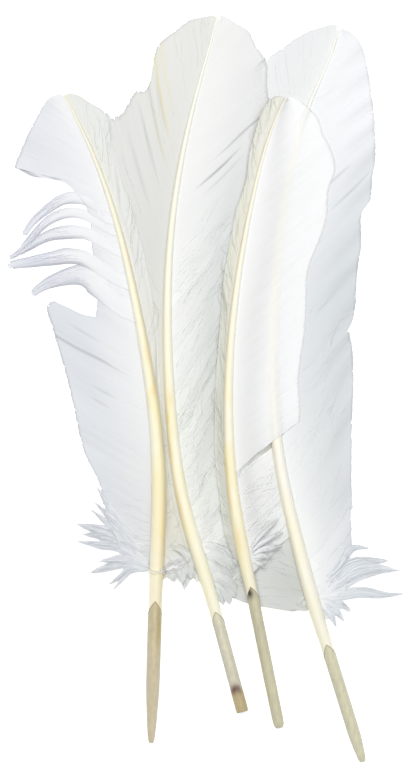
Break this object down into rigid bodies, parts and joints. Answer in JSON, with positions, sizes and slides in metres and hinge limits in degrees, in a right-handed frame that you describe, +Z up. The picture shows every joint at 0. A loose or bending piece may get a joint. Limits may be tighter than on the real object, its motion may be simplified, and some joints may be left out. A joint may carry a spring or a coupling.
{
  "type": "quill pen set",
  "caption": "Loose pile of four uncut white wing-feather quills, underside up, with frayed and split vanes, hollow horn barrels and ragged down.",
  "frame": {"origin": "on the surface the pile lies on, under the middle of its outline", "axes": "+Z up, +Y along the feathers towards their tips, +X to the right seen from above with the tips away"},
  "size_m": [0.1832, 0.3444, 0.0094],
  "materials": {
    "horn": "semi-gloss",
    "pulp": "matte",
    "shaft": "satin",
    "pith": "matte",
    "vane": "silky",
    "down": "matte"
  },
  "bodies": {
    "quill_1": {"quill_1_barrel": "horn", "quill_1_pulp_caps": "pulp", "quill_1_shaft": "shaft", "quill_1_shaft_pith": "pith", "quill_1_left_vane": "vane", "quill_1_left_down": "down", "quill_1_right_vane": "vane", "quill_1_right_down": "down", "quill_1_loose_barbs": "vane"},
    "quill_2": {"quill_2_barrel": "horn", "quill_2_pulp_caps": "pulp", "quill_2_shaft": "shaft", "quill_2_shaft_pith": "pith", "quill_2_left_vane": "vane", "quill_2_left_down": "down", "quill_2_right_vane": "vane", "quill_2_right_down": "down"},
    "quill_3": {"quill_3_barrel": "horn", "quill_3_pulp_caps": "pulp", "quill_3_shaft": "shaft", "quill_3_shaft_pith": "pith", "quill_3_left_vane": "vane", "quill_3_left_down": "down", "quill_3_right_vane": "vane", "quill_3_right_down": "down"},
    "quill_4": {"quill_4_barrel": "horn", "quill_4_pulp_caps": "pulp", "quill_4_shaft": "shaft", "quill_4_shaft_pith": "pith", "quill_4_left_vane": "vane", "quill_4_left_down": "down", "quill_4_right_vane": "vane", "quill_4_right_down": "down"}
  },
  "joints": [
    {"name": "quill_2_lift", "type": "slide", "parent": "quill_4", "child": "quill_2", "axis": [0, 0, 1], "range_m": [0, 0.06]},
    {"name": "quill_1_lift", "type": "slide", "parent": "quill_2", "child": "quill_1", "axis": [0, 0, 1], "range_m": [0, 0.05]},
    {"name": "quill_3_lift", "type": "slide", "parent": "quill_2", "child": "quill_3", "axis": [0, 0, 1], "range_m": [0, 0.05]}
  ]
}
